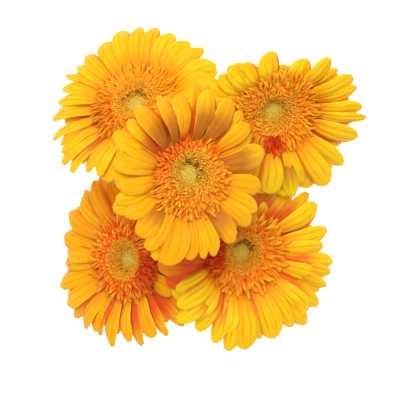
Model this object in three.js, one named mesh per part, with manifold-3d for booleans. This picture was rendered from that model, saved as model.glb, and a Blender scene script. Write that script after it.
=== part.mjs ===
// Five cut yellow gerberas standing in a plain ceramic vase.
// Millimetres, +Z up. The origin is the centre of the vase's flat base.
import * as THREE from "three";
import { mergeVertices } from "three/addons/utils/BufferGeometryUtils.js";
import Module from "manifold-3d";

const wasm = await Module();
wasm.setup();

// ---- driving dimensions ----------------------------------------------------------------------

const GAP = 0.3; // clearance between pieces that touch
const WELD = 1e-4; // corners closer than this are one corner

const VASE_HEIGHT = 170;
const VASE_WALL = 4;
const VASE_FLOOR = 7;
const VASE_FACETS = 26;
// Outside of the vase: radius at each share of its height, from the foot to the lip.
const VASE_OUTSIDE = [
  [34, 0],
  [43, 0.1],
  [49, 0.26],
  [48, 0.42],
  [40, 0.6],
  [31, 0.76],
  [28.5, 0.86],
  [31, 0.95],
  [35, 1],
];

const STEM_FOOT_RADIUS = 3.3;
const STEM_SIDES = 8;
const STEM_STEPS = 14;
const STEM_CIRCLE_FOOT = 15; // circle that the cut feet stand on, on the vase's floor
const STEM_CIRCLE_NECK = 19; // circle that the stems pass through in the neck
const NECK_LEVEL = 150;
const STEM_FOOT_LEVEL = VASE_FLOOR + 0.5; // a leaning stem's cut end keeps clear of the floor
const STEM_BEND = 0.36; // share of the way from neck to flower that shapes each end of the bend

// A flower head in its own frame: +Z out of the flower's face, zero at its heart.
const RAY_ROOT_RADIUS = 11;
const RAY_ROOT_Z = -3.5; // middle of a front ray at its root
const RAY_WHORL_STEP = 1.8; // how far the back whorl lies behind the front one
const RAY_SLOPE = 0.42; // rise of a ray over its run, where it leaves the heart
const RAY_THICKNESS = 0.8;
const COLLAR_INNER = 10.2;
const COLLAR_OUTER = 12;
const COLLAR_BELOW = 0.6; // the collar's faces, from the middle of a ray's root
const COLLAR_ABOVE = 0.4;
const COLLAR_FACETS = 12;
// Width of a ray, as a share of its widest, along its length from root to tip.
const RAY_OUTLINE = [
  [0, 0.34],
  [0.4, 0.86],
  [0.76, 1],
  [1, 0.42],
];
const TIP_PASSES = 24; // rounds that place a ray so that its tip is seen where it is listed
const DISC_PROFILE = [
  [0, -6],
  [9.5, -6],
  [9.5, -1.2],
  [12, -1.2],
  [15, 0.4],
  [15.1, 4.4],
  [12.5, 6.2],
  [8, 4],
  [5, 1.5],
  [0, 1.7],
];
const DISC_FACETS = 16;
const CALYX_PROFILE = [
  [0, -22],
  [3.6, -22],
  [6.5, -15.5],
  [12, -9.5],
  [13.2, -6.3],
  [0, -6.3],
];
const CALYX_FACETS = 14;
const STEM_TOP_Z = CALYX_PROFILE[0][1] - GAP;
const TRANS_TEETH = 10;
const TRANS_NOTCH = 1.8; // how much shorter the ring is between two teeth
const TRANS_FLOOR = [-2.75, -1.5]; // under and upper face of the flat part under the disc
const TRANS_OUTER_FOOT = 11;
const TRANS_BULGE = [0.5, 3]; // outer side: in from the reach, height
const TRANS_RIM = 6.5;
const TRANS_LIP = [2.5, 8]; // inner edge of the rim: in from the reach, height
const TRANS_DISC_SEAT = [
  [15.6, 3.6],
  [15.4, 0.1],
  [12.1, -1.5],
];

const COLOURS = {
  ray: { color: 0xffc40c, roughness: 0.5, metalness: 0 },
  trans: { color: 0xff9a2a, roughness: 0.6, metalness: 0 },
  disc: { color: 0xc9a52c, roughness: 0.75, metalness: 0 },
  green: { color: 0x7f9a4a, roughness: 0.6, metalness: 0 },
  glaze: { color: 0xf1ece0, roughness: 0.25, metalness: 0 },
};

// ---- the five flowers ------------------------------------------------------------------------
// heart: where the flower's heart is. lean, tilt: the way its face leans, and by how much, degrees.
// curl: how fast the rays bend over. trans: reach of the ring of short florets.
// foot: bearing of the stem round the vase, degrees.
// A ray is listed as it is seen from straight above the flower: the bearing of its tip round the
// heart (degrees anticlockwise from +X), the reach of the tip from the heart, its width, and how
// far its tip is lifted, if it is. hidden: the rays under a neighbour, evenly spread.
const FLOWERS = [
  {
    name: "centre",
    heart: [-10.3, 7.8, 338],
    lean: 0,
    tilt: 28,
    curl: -0.0075,
    trans: 22,
    foot: 178,
    front: [
      [18, 45, 12], [41, 45, 8], [58, 49, 12], [81, 50, 12], [95, 44, 8], [111, 44, 8],
      [127, 45, 10], [135, 44, 8], [161, 38, 10], [186, 36, 10], [202, 39, 9], [214, 38, 9],
      [251, 47, 8], [258, 51, 8], [265, 47, 11], [275, 47, 8], [282, 47, 8], [290, 47, 8],
      [321, 44, 8], [336, 44, 9], [351, 41, 10],
    ],
    back: [
      [49, 50, 8], [74, 51, 9], [104, 43, 8], [154, 43, 9], [174, 39, 9], [236, 42, 8],
      [304, 45, 10],
    ],
  },
  {
    name: "top_left",
    heart: [-39.8, 49.4, 292],
    lean: 128,
    tilt: 32,
    curl: -0.008,
    trans: 25,
    foot: 112,
    front: [
      [27, 51, 10], [41, 50, 9], [53, 47, 9], [66, 47, 9], [82, 49, 10], [101, 49, 9],
      [118, 45, 10], [137, 45, 9], [146, 46, 8], [158, 49, 8], [173, 49, 11], [190, 52, 9],
      [203, 54, 9], [218, 56, 9], [237, 48, 9],
    ],
    back: [
      [18, 50, 9], [93, 49, 9], [110, 45, 8], [165, 48, 9], [179, 48, 8], [212, 53, 9],
      [223, 55, 8], [243, 42, 9],
    ],
    hidden: { from: 254, to: 371, count: 7, reach: 35, width: 10, lift: 0 },
  },
  {
    name: "top_right",
    heart: [37.4, 45.4, 302],
    lean: 300,
    tilt: 34,
    curl: -0.0005,
    trans: 25,
    foot: 45,
    front: [
      [4, 51, 10], [24, 48, 11], [39, 41, 11], [56, 32, 10], [98, 29, 10], [128, 29, 9],
      [144, 33, 8, -2], [160, 37, 10, -3], [256, 34, 9], [272, 49, 12], [286, 41, 9], [294, 45, 9],
      [309, 54, 9], [326, 53, 10], [344, 52, 9], [356, 54, 8],
    ],
    back: [
      [13, 50, 9], [43, 36, 9], [78, 26, 10], [117, 25, 9], [286, 51, 10], [304, 50, 9],
      [352, 49, 8],
    ],
    hidden: { from: 174, to: 244, count: 5, reach: 36, width: 10, lift: 0 },
  },
  {
    name: "bottom_left",
    heart: [-46, -41.4, 262],
    lean: 180,
    tilt: 37,
    curl: -0.0058,
    trans: 26,
    foot: 245,
    front: [
      [115, 54, 10], [122, 51, 10], [137, 48, 9], [147, 49, 10], [165, 45, 13], [179, 42, 9],
      [199, 48, 9], [213, 49, 13], [226, 51, 9], [240, 51, 11], [256, 54, 9], [271, 49, 9],
      [292, 47, 9], [332, 32, 12, -8],
    ],
    back: [
      [131, 48, 9], [186, 43, 9], [231, 50, 9], [247, 52, 9], [279, 51, 9], [301, 48, 9],
      [312, 48, 9, -9],
    ],
    hidden: { from: 350, to: 464, count: 7, reach: 31, width: 10, lift: -8 },
  },
  {
    name: "bottom_right",
    heart: [20.4, -36.6, 268],
    lean: 335,
    tilt: 27,
    curl: -0.002,
    trans: 25,
    foot: 312,
    front: [
      [2, 52, 13], [11, 56, 9], [21, 53, 9], [28, 55, 12], [210, 40, 9], [219, 43, 10],
      [233, 49, 9], [241, 52, 9], [256, 57, 9], [274, 59, 10], [295, 57, 11], [305, 57, 10],
      [319, 57, 9], [334, 55, 9], [344, 59, 10],
    ],
    back: [
      [42, 54, 9], [50, 38, 9], [250, 51, 9], [267, 60, 11], [289, 57, 9], [310, 61, 9],
      [328, 60, 9], [338, 59, 9], [352, 58, 9],
    ],
    hidden: { from: 60, to: 198, count: 9, reach: 36, width: 10, lift: 0 },
  },
];

// ---- solids ----------------------------------------------------------------------------------

const radians = THREE.MathUtils.degToRad;

// A closed geometry as a solid that can be joined and cut.
function solid(geometry) {
  const bare = geometry.clone();
  bare.deleteAttribute("normal");
  bare.deleteAttribute("uv");
  const merged = mergeVertices(bare, WELD);
  const mesh = new wasm.Mesh({
    numProp: 3,
    vertProperties: new Float32Array(merged.attributes.position.array),
    triVerts: new Uint32Array(merged.index.array),
  });
  return new wasm.Manifold(mesh);
}

function geometryOf(made) {
  const { vertProperties, triVerts } = made.getMesh();
  const geometry = new THREE.BufferGeometry();
  geometry.setAttribute("position", new THREE.BufferAttribute(vertProperties, 3));
  geometry.setIndex(new THREE.BufferAttribute(triVerts, 1));
  return geometry;
}

// Overlapping rays can close small pockets between them: only the outer skin is kept.
function outerSkin(made) {
  const skins = made.decompose().sort((a, b) => b.volume() - a.volume());
  return skins[0];
}

function turned(profile, facets) {
  const points = profile.map(([r, z]) => new THREE.Vector2(r, z));
  return new THREE.LatheGeometry(points, facets).rotateX(Math.PI / 2);
}

function named(name, geometry, look) {
  const mesh = new THREE.Mesh(geometry, new THREE.MeshStandardMaterial(look));
  mesh.name = name;
  return mesh;
}

// A closed skin over rings of points, each ring going the same way round.
function skin(rings) {
  const around = rings[0].length;
  const index = [];
  for (let ring = 0; ring < rings.length - 1; ring++) {
    for (let side = 0; side < around; side++) {
      const a = ring * around + side;
      const b = ring * around + ((side + 1) % around);
      index.push(a, b, a + around, b, b + around, a + around);
    }
  }
  const last = (rings.length - 1) * around;
  for (let side = 1; side < around - 1; side++) {
    index.push(0, side + 1, side, last, last + side, last + side + 1);
  }
  const geometry = new THREE.BufferGeometry().setFromPoints(rings.flat());
  geometry.setIndex(index);
  return geometry;
}

// ---- the vase --------------------------------------------------------------------------------

// Thrown in one piece: a flat foot, a round belly, a neck and an opened lip.
function vase() {
  const outside = VASE_OUTSIDE.map(([r, share]) => [r, share * VASE_HEIGHT]);
  const inside = outside
    .filter(([, z]) => z > VASE_FLOOR)
    .map(([r, z]) => [r - VASE_WALL, z])
    .reverse();
  const floor = [
    [VASE_OUTSIDE[0][0] - VASE_WALL, VASE_FLOOR],
    [0, VASE_FLOOR],
  ];
  return turned([[0, 0], ...outside, ...inside, ...floor], VASE_FACETS);
}

// ---- the flowers -----------------------------------------------------------------------------

// The head's own axes in the part's frame: n out of its face, u and v across it.
function headAxes(flower) {
  const lean = radians(flower.lean);
  const tilt = radians(flower.tilt);
  const level = Math.sin(tilt);
  const n = new THREE.Vector3(level * Math.cos(lean), level * Math.sin(lean), Math.cos(tilt));
  const u = new THREE.Vector3(1, 0, 0).addScaledVector(n, -n.x).normalize();
  const v = new THREE.Vector3().crossVectors(n, u);
  return { u, v, n };
}

// How high a ray's middle lies over the heart, a given way along it.
function rayHeight(flower, run, length, lift, drop) {
  const bend = RAY_SLOPE * run + flower.curl * run * run;
  return RAY_ROOT_Z - drop + bend + lift * (run / length) ** 2;
}

// Finds the ray, in the head's own frame, whose tip is seen at a bearing and reach from above.
function rayFromAbove(flower, [bearing, reach, width, lift = 0], drop) {
  const { u, v, n } = headAxes(flower);
  const det = u.x * v.y - v.x * u.y;
  const ray = { angle: 0, length: reach - RAY_ROOT_RADIUS, width, lift, drop };
  for (let pass = 0; pass < TIP_PASSES; pass++) {
    const rise = rayHeight(flower, ray.length, ray.length, lift, drop);
    const px = reach * Math.cos(radians(bearing)) - rise * n.x;
    const py = reach * Math.sin(radians(bearing)) - rise * n.y;
    const x = (v.y * px - v.x * py) / det;
    const y = (u.x * py - u.y * px) / det;
    ray.angle = Math.atan2(y, x);
    ray.length = Math.hypot(x, y) - RAY_ROOT_RADIUS;
  }
  return ray;
}

// One ray: a strap with a flat face and a keel along its back, narrow at the root.
function raySolid(flower, { angle, length, width, lift, drop }) {
  const rings = RAY_OUTLINE.map(([share, breadth]) => {
    const run = share * length;
    const z = rayHeight(flower, run, length, lift, drop);
    const side = (width / 2) * breadth;
    const half = RAY_THICKNESS / 2;
    const r = RAY_ROOT_RADIUS + run;
    return [
      new THREE.Vector3(r, side, z + half),
      new THREE.Vector3(r, -side, z + half),
      new THREE.Vector3(r, 0, z - half),
    ];
  });
  return solid(skin(rings).rotateZ(angle));
}

function hiddenRays({ from, to, count, reach, width, lift }, shift) {
  const step = (to - from) / count;
  return Array.from({ length: count }, (_, i) => [from + step * (i + shift), reach, width, lift]);
}

// A whorl of rays joined at the root by the collar that they grow from.
function rayWhorl(flower, listed, shift, drop) {
  const z = RAY_ROOT_Z - drop;
  const low = z - COLLAR_BELOW;
  const high = z + COLLAR_ABOVE;
  const ring = [
    [COLLAR_INNER, low],
    [COLLAR_OUTER, low],
    [COLLAR_OUTER, high],
    [COLLAR_INNER, high],
    [COLLAR_INNER, low],
  ];
  const rays = flower.hidden ? [...listed, ...hiddenRays(flower.hidden, shift)] : listed;
  let whorl = solid(turned(ring, COLLAR_FACETS));
  for (const ray of rays) {
    whorl = whorl.add(raySolid(flower, rayFromAbove(flower, ray, drop)));
  }
  return geometryOf(outerSkin(whorl));
}

// The ring of short florets between rays and disc: a toothed, open cup round the disc.
function transFlorets(reach) {
  const [under, upper] = TRANS_FLOOR;
  const profile = [
    [COLLAR_INNER, under],
    [TRANS_OUTER_FOOT, under],
    [reach - TRANS_BULGE[0], TRANS_BULGE[1]],
    [reach, TRANS_RIM],
    [reach - TRANS_LIP[0], TRANS_LIP[1]],
    ...TRANS_DISC_SEAT,
    [COLLAR_INNER, upper],
    [COLLAR_INNER, under],
  ];
  const ring = turned(profile, 2 * TRANS_TEETH);
  const points = ring.attributes.position;
  for (let i = 0; i < points.count; i++) {
    const r = Math.hypot(points.getX(i), points.getY(i));
    const turn = Math.atan2(points.getY(i), points.getX(i)) / Math.PI;
    const between = Math.abs(Math.round(turn * TRANS_TEETH)) % 2 === 1;
    if (between && r > reach - TRANS_NOTCH / 2) {
      const scale = (r - TRANS_NOTCH) / r;
      points.setXYZ(i, points.getX(i) * scale, points.getY(i) * scale, points.getZ(i));
    }
  }
  return ring;
}

// A stem: straight from the vase's floor to its neck, then bending to meet the flower's back.
function stem(flower) {
  const { n } = headAxes(flower);
  const bearing = radians(flower.foot);
  const out = new THREE.Vector3(Math.cos(bearing), Math.sin(bearing), 0);
  const foot = out.clone().multiplyScalar(STEM_CIRCLE_FOOT).setZ(STEM_FOOT_LEVEL);
  const neck = out.clone().multiplyScalar(STEM_CIRCLE_NECK).setZ(NECK_LEVEL);
  const top = new THREE.Vector3(...flower.heart).addScaledVector(n, STEM_TOP_Z);
  const way = neck.clone().sub(foot).normalize();
  const bend = STEM_BEND * neck.distanceTo(top);
  const path = new THREE.CurvePath();
  path.add(new THREE.LineCurve3(foot, neck));
  path.add(
    new THREE.CubicBezierCurve3(
      neck,
      neck.clone().addScaledVector(way, bend),
      top.clone().addScaledVector(n, -bend),
      top,
    ),
  );
  const section = new THREE.Shape();
  for (let side = 0; side < STEM_SIDES; side++) {
    const turn = (side / STEM_SIDES) * 2 * Math.PI;
    const x = STEM_FOOT_RADIUS * Math.cos(turn);
    const y = STEM_FOOT_RADIUS * Math.sin(turn);
    if (side === 0) section.moveTo(x, y);
    else section.lineTo(x, y);
  }
  section.closePath();
  return new THREE.ExtrudeGeometry(section, {
    steps: STEM_STEPS,
    extrudePath: path,
    bevelEnabled: false,
  });
}

// ---- assembly --------------------------------------------------------------------------------

const part = new THREE.Group();
part.add(named("vase", vase(), COLOURS.glaze));

for (const flower of FLOWERS) {
  const { u, v, n } = headAxes(flower);
  const head = new THREE.Group();
  head.position.set(...flower.heart);
  head.quaternion.setFromRotationMatrix(new THREE.Matrix4().makeBasis(u, v, n));
  const backWhorl = rayWhorl(flower, flower.back, 0.5, RAY_WHORL_STEP);
  const frontWhorl = rayWhorl(flower, flower.front, 0, 0);
  head.add(
    named(`${flower.name}_calyx`, turned(CALYX_PROFILE, CALYX_FACETS), COLOURS.green),
    named(`${flower.name}_rays_back`, backWhorl, COLOURS.ray),
    named(`${flower.name}_rays_front`, frontWhorl, COLOURS.ray),
    named(`${flower.name}_trans_florets`, transFlorets(flower.trans), COLOURS.trans),
    named(`${flower.name}_disc`, turned(DISC_PROFILE, DISC_FACETS), COLOURS.disc),
  );
  part.add(named(`${flower.name}_stem`, stem(flower), COLOURS.green), head);
}

export default part;
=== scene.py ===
from math import cos, hypot, pi, radians, sin

import bpy
import numpy as np
from mathutils import Matrix, Vector


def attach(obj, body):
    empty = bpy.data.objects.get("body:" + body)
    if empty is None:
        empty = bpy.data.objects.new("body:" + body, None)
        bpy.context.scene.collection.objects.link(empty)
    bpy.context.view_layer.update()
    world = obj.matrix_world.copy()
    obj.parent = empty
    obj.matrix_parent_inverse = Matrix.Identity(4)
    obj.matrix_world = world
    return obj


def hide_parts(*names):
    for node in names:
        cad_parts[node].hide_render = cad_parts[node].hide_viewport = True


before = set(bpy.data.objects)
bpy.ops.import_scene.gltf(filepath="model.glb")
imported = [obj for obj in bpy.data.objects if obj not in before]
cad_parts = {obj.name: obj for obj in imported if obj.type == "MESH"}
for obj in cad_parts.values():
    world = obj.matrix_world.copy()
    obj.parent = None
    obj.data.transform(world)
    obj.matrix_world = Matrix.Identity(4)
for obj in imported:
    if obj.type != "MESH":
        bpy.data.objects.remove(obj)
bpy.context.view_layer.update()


# ---- the stage -------------------------------------------------
# A white table, one big soft lamp over its far side, and a dim, warm room. The camera hangs
# straight over the bunch and looks down, with the table's far side at the top of the picture.

CAMERA_PLACE = (-0.0035, -0.0058, 0.933)
CAMERA_LENS = 100
LAMP_PLACE = (-0.07, 0.48, 1.9)
LAMP_AIM = (0, 0, 0.28)
LAMP_SIZE = 1.2
LAMP_POWER = 28
ROOM_COLOUR = (1, 0.9, 0.74, 1)
ROOM_STRENGTH = 0.43
TABLE_SIDE = 60
TABLE_COLOUR = (0.9, 0.9, 0.9, 1)
TABLE_ROUGHNESS = 0.8
TABLE_GLOW = 0.7


def linked(thing):
    bpy.context.scene.collection.objects.link(thing)
    return thing


def feed(socket, value):
    """Gives a node's socket a value, or wires it to what another node gives."""
    if isinstance(value, Wire):
        socket.id_data.links.new(value.socket, socket)
    else:
        socket.default_value = value


def add(tree, kind, feeds=(), output=0, **settings):
    """Adds a node to a tree and gives one of its outputs. feeds: a value for each input."""
    node = tree.nodes.new(kind)
    for key, value in settings.items():
        setattr(node, key, value)
    for slot, value in dict(feeds).items():
        feed(node.inputs[slot], value)
    return Wire(node.outputs[output])


class Wire:
    """What a node gives. A formula written with wires adds the nodes that work it out."""

    def __init__(self, socket):
        self.socket = socket

    def maths(self, operation, *others):
        feeds = dict(enumerate((self, *others)))
        return add(self.socket.id_data, "ShaderNodeMath", feeds, operation=operation)

    def __add__(self, other):
        return self.maths("ADD", other)

    def __sub__(self, other):
        return self.maths("SUBTRACT", other)

    def __mul__(self, other):
        return self.maths("MULTIPLY", other)

    def __truediv__(self, other):
        return self.maths("DIVIDE", other)

    def __pow__(self, other):
        return self.maths("POWER", other)

    def __rsub__(self, other):
        return self.maths("MULTIPLY", -1) + other

    __radd__ = __add__
    __rmul__ = __mul__

    def step(self, low, high):
        """Goes smoothly from 0 to 1 while this goes from low to high."""
        feeds = {"Value": self, "From Min": low, "From Max": high}
        tree = self.socket.id_data
        return add(tree, "ShaderNodeMapRange", feeds, interpolation_type="SMOOTHSTEP")


class Finish:
    """A material: one Principled shader, with helpers for what drives its colour."""

    def __init__(self, name, **sockets):
        self.material = bpy.data.materials.new(name)
        self.material.use_nodes = True
        self.tree = self.material.node_tree
        self.shader = self.tree.nodes["Principled BSDF"]
        for socket, value in sockets.items():
            feed(self.shader.inputs[socket.replace("_", " ")], value)

    def stored(self, name):
        """A number kept on the mesh, such as how far along its petal a point lies."""
        return add(self.tree, "ShaderNodeAttribute", output="Fac", attribute_name=name)

    def object_place(self, scale=(1, 1, 1)):
        place = add(self.tree, "ShaderNodeTexCoord", output="Object")
        return add(self.tree, "ShaderNodeMapping", {"Vector": place, "Scale": scale})

    def point(self, x, y, z=0):
        return add(self.tree, "ShaderNodeCombineXYZ", {0: x, 1: y, 2: z})

    def noise(self, place, scale, detail):
        feeds = {"Vector": place, "Scale": scale, "Detail": detail}
        return add(self.tree, "ShaderNodeTexNoise", feeds)

    def mixed(self, share, *colours):
        """A colour that is the first one where the share is 0, and the second where it is 1."""
        first, second = ((*c, 1) if isinstance(c, tuple) else c for c in colours)
        feeds = {"Factor": share, 6: first, 7: second}
        return add(self.tree, "ShaderNodeMix", feeds, 2, data_type="RGBA")

    def colour(self, ground, *coats):
        """Paints the surface with a ground and the coats over it: the share and colour of each."""
        for share, coat in coats:
            ground = self.mixed(share, ground, coat)
        feed(self.shader.inputs["Base Color"], ground)

    def bump(self, height, depth):
        bumps = add(self.tree, "ShaderNodeBump", {"Height": height, "Distance": depth})
        feed(self.shader.inputs["Normal"], bumps)


def plain_mesh(name, points, faces, material):
    mesh = bpy.data.meshes.new(name)
    mesh.from_pydata([tuple(p) for p in points], [], faces)
    mesh.materials.append(material)
    mesh.shade_smooth()
    return mesh


camera = linked(bpy.data.objects.new("camera", bpy.data.cameras.new("camera")))
camera.location = CAMERA_PLACE
camera.data.lens = CAMERA_LENS
bpy.context.scene.camera = camera
bpy.context.scene.view_settings.view_transform = "Standard"

lamp = linked(bpy.data.objects.new("lamp", bpy.data.lights.new("lamp", "AREA")))
lamp.data.shape = "DISK"
lamp.data.size = LAMP_SIZE
lamp.data.energy = LAMP_POWER
lamp.location = LAMP_PLACE
lamp.rotation_euler = (Vector(LAMP_PLACE) - Vector(LAMP_AIM)).to_track_quat("Z", "Y").to_euler()

room = bpy.data.worlds.new("room")
room.use_nodes = True
light = room.node_tree.nodes["Background"].inputs
feed(light["Color"], ROOM_COLOUR)
feed(light["Strength"], ROOM_STRENGTH)
bpy.context.scene.world = room

white = Finish(
    "white_table", Base_Color=TABLE_COLOUR, Roughness=TABLE_ROUGHNESS,
    Emission_Color=(1, 1, 1, 1), Emission_Strength=TABLE_GLOW,
)
half = TABLE_SIDE / 2
corners = [(-half, -half, 0), (half, -half, 0), (half, half, 0), (-half, half, 0)]
table_top = plain_mesh("floor", corners, [(0, 1, 2, 3)], white.material)
linked(bpy.data.objects.new("floor", table_top))


# ---- the vase --------------------------------------------------
# One pot of pale stoneware, thrown on a wheel, so it is round and keeps faint rings from the
# fingers. It is dipped in a gloss glaze, which is wiped off the foot ring that it stands on.

VASE_HEIGHT = 0.17
VASE_WALL = 0.004
VASE_FLOOR = 0.007
VASE_SIDES = 144
VASE_ROWS = 110
# Outside: radius at each share of the height, from the foot to the lip.
VASE_OUTSIDE = (
    (0.034, 0), (0.043, 0.1), (0.049, 0.26), (0.048, 0.42), (0.04, 0.6), (0.031, 0.76),
    (0.0285, 0.86), (0.031, 0.95), (0.035, 1),
)
LIP_STEPS = 9
FINGER_RING = 0.00012
FINGER_RINGS = 26
FLOOR_TURN_UP = 0.0006  # how far the inner floor rises to the wall
FLOOR_SHARES = (0.98, 0.9, 0.6, 0.3)
FOOT_RING_WIDTH = 0.005
FOOT_HOLLOW = 0.0022  # height of the underside within the foot ring
FOOT_LEAN = 0.0012  # how far the ring's inner side leans in on its way up
FOOT_INNER_EDGE = (0.0006, 0.0004)  # width and height that are rounded off
FOOT_OUTER_EDGE = 0.0008

CREAM_COLOURS = (0.6, 0.55, 0.46), (0.7, 0.66, 0.57)
SPECK_COLOUR = (0.36, 0.25, 0.14)
CLAY_COLOUR = (0.55, 0.46, 0.35)
SPECK_SCALE = 900
CLOUD_SCALE = 26
GLAZE_FADE = (0.0034, 0.0026)  # heights between which the glaze gives way to bare clay
GLAZE_RAGGED = 0.0012


def settle(name, mesh, node):
    """Puts a finished mesh in the bunch, in the place of a plain solid."""
    piece = linked(bpy.data.objects.new(name, mesh))
    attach(piece, "root")
    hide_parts(node)


def lathe(profile, sides):
    """Turns (radius, height) points, which start and end on the axis, into a closed shape."""
    rows = profile[1:-1]
    turns = [2 * pi * side / sides for side in range(sides)]
    points = [(r * cos(turn), r * sin(turn), z) for r, z in rows for turn in turns]
    faces = []
    for row in range(len(rows) - 1):
        for side in range(sides):
            after = (side + 1) % sides
            a, b = row * sides, (row + 1) * sides
            faces.append((a + side, a + after, b + after, b + side))
    first, last = len(points), len(points) + 1
    points += [(0, 0, profile[0][1]), (0, 0, profile[-1][1])]
    top = (len(rows) - 1) * sides
    for side in range(sides):
        after = (side + 1) % sides
        faces.append((first, after, side))
        faces.append((last, top + side, top + after))
    return points, faces


def smooth_profile(knots, rows):
    """Shares of a height, and the radius at each, on a smooth line through (radius, share) knots."""
    radii = np.array([r for r, _ in knots])
    shares = np.array([share for _, share in knots])
    slopes = np.gradient(radii, shares)
    wanted = np.linspace(0, 1, rows)
    piece = np.clip(np.searchsorted(shares, wanted, "right") - 1, 0, len(knots) - 2)
    span = shares[piece + 1] - shares[piece]
    s = (wanted - shares[piece]) / span
    start = (2 * s**3 - 3 * s**2 + 1) * radii[piece] + (s**3 - 2 * s**2 + s) * span * slopes[piece]
    end = (3 * s**2 - 2 * s**3) * radii[piece + 1] + (s**3 - s**2) * span * slopes[piece + 1]
    return wanted, start + end


shares, outer = smooth_profile(VASE_OUTSIDE, VASE_ROWS)
rings = FINGER_RING * np.sin(2 * pi * FINGER_RINGS * shares) * np.sin(pi * shares) ** 0.5
levels = shares * VASE_HEIGHT
outside = list(zip(outer - FINGER_RING + rings, levels))
lip = [
    (outer[-1] - VASE_WALL / 2 + VASE_WALL / 2 * cos(turn), VASE_HEIGHT + VASE_WALL / 2 * sin(turn))
    for turn in np.linspace(0, pi, LIP_STEPS)[1:-1]
]
inside = [(r - VASE_WALL + w, z) for r, z, w in zip(outer, levels, rings) if z > VASE_FLOOR][::-1]
floor_rise = [
    (inside[-1][0] * share, VASE_FLOOR + FLOOR_TURN_UP * share**6) for share in FLOOR_SHARES
]
foot = VASE_OUTSIDE[0][0]
foot_inside = foot - FOOT_RING_WIDTH
under = [
    (0, FOOT_HOLLOW), (foot_inside - FOOT_LEAN, FOOT_HOLLOW), (foot_inside, FOOT_INNER_EDGE[1]),
    (foot_inside + FOOT_INNER_EDGE[0], 0), (foot - FOOT_OUTER_EDGE, 0),
]
vase_line = under + outside[1:] + lip + inside + floor_rise + [(0, VASE_FLOOR)]

glaze = Finish("cream_glaze", Coat_Weight=0.5, Coat_Roughness=0.06)
height = add(glaze.tree, "ShaderNodeSeparateXYZ", {0: glaze.object_place()}, "Z")
specks = glaze.noise(glaze.object_place(), SPECK_SCALE, 1).step(0.68, 0.74)
clouds = glaze.noise(glaze.object_place(), CLOUD_SCALE, 4)
cream = glaze.mixed(clouds, *CREAM_COLOURS)
bare_clay = (height + clouds * GLAZE_RAGGED).step(*GLAZE_FADE)
glaze.colour(cream, (specks * 0.55, SPECK_COLOUR), (bare_clay, CLAY_COLOUR))
feed(glaze.shader.inputs["Roughness"], bare_clay * 0.6 + clouds * 0.1 + 0.1)
glaze.bump(clouds + specks * 0.3, 0.0002)

points, faces = lathe(vase_line, VASE_SIDES)
vase_mesh = plain_mesh("ceramic_vase", points, faces, glaze.material)
settle("ceramic_vase", vase_mesh, "vase")


# ---- the stems -------------------------------------------------
# Five bare flower stalks, leafless as gerberas are: juicy, faintly ribbed and downy, pale and
# flushed at the cut foot. Each stands on the vase's floor and bends to carry its head.

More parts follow.
